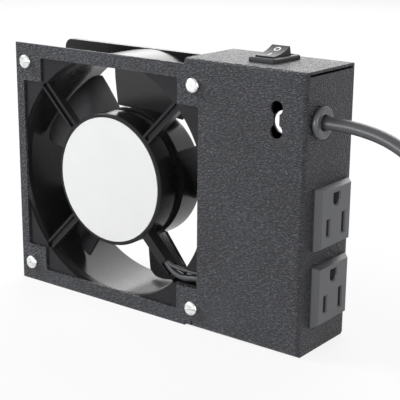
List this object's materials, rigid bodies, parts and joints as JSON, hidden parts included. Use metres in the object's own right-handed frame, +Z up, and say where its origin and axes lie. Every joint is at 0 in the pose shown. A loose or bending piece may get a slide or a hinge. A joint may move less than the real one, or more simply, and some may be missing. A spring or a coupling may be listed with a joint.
{
  "type": "fan panel",
  "caption": "Square axial fan bolted behind a folded steel panel whose end forms a wiring box with a rocker switch, two outlets, a hanging slot and a mains cord.",
  "frame": {"origin": "middle of the part's box, without its cord, on the surface it stands on", "axes": "+X along the panel from the fan to the outlets, +Y from the panel's front to its back, +Z up"},
  "size_m": [0.4665, 0.0428, 0.1322],
  "materials": {
    "powder_coat": "black wrinkle powder coat",
    "cover_paint": "black powder coat",
    "zinc": "bright zinc plate",
    "fan_paint": "gloss black paint on die-cast aluminium",
    "impeller_plastic": "black moulded plastic",
    "label_stock": "bare off-white label",
    "bearing_steel": "ground steel",
    "lamination": "stacked electrical steel",
    "winding": "enamelled copper wire",
    "switch_plastic": "black moulded plastic",
    "outlet_plastic": "charcoal moulded plastic",
    "contact_brass": "stamped brass",
    "grommet_rubber": "black rubber",
    "cord_sheath": "black flexible sheath",
    "sleeve": "black sleeving"
  },
  "bodies": {
    "panel": {"bearing_spacer": "bearing_steel", "cord_clamp": "zinc", "cord_coil": "cord_sheath", "cord_grommet": "grommet_rubber", "cover_screws": "zinc", "face_plate": "powder_coat", "fan_frame": "fan_paint", "fan_nuts": "zinc", "fan_screws": "zinc", "front_bearing": "bearing_steel", "front_winding": "winding", "lead_channel_cap": "fan_paint", "lead_sleeve": "sleeve", "lower_outlet": "outlet_plastic", "lower_outlet_back": "switch_plastic", "lower_outlet_contacts": "contact_brass", "motor_label": "label_stock", "plug_blades": "contact_brass", "plug_body": "cord_sheath", "plug_cord": "cord_sheath", "plug_earth_pin": "contact_brass", "power_cord": "cord_sheath", "rear_bearing": "bearing_steel", "rear_cover": "cover_paint", "rear_winding": "winding", "stator_core": "lamination", "switch_housing": "switch_plastic", "switch_terminals": "contact_brass", "upper_outlet": "outlet_plastic", "upper_outlet_back": "switch_plastic", "upper_outlet_contacts": "contact_brass"},
    "rotor": {"impeller": "impeller_plastic", "rotor_shaft": "bearing_steel", "rotor_core": "lamination"},
    "rocker": {"switch_rocker": "switch_plastic"}
  },
  "joints": [
    {"name": "rotor_spin", "type": "hinge", "parent": "panel", "child": "rotor", "pos_m": [-0.0274, 0.00605, 0.0622], "axis": [0, 1, 0], "continuous": true},
    {"name": "rocker_tip", "type": "hinge", "parent": "panel", "child": "rocker", "pos_m": [0.0536, 0.00185, 0.124], "axis": [-1, 0, 0], "range_deg": [0, 28]}
  ]
}
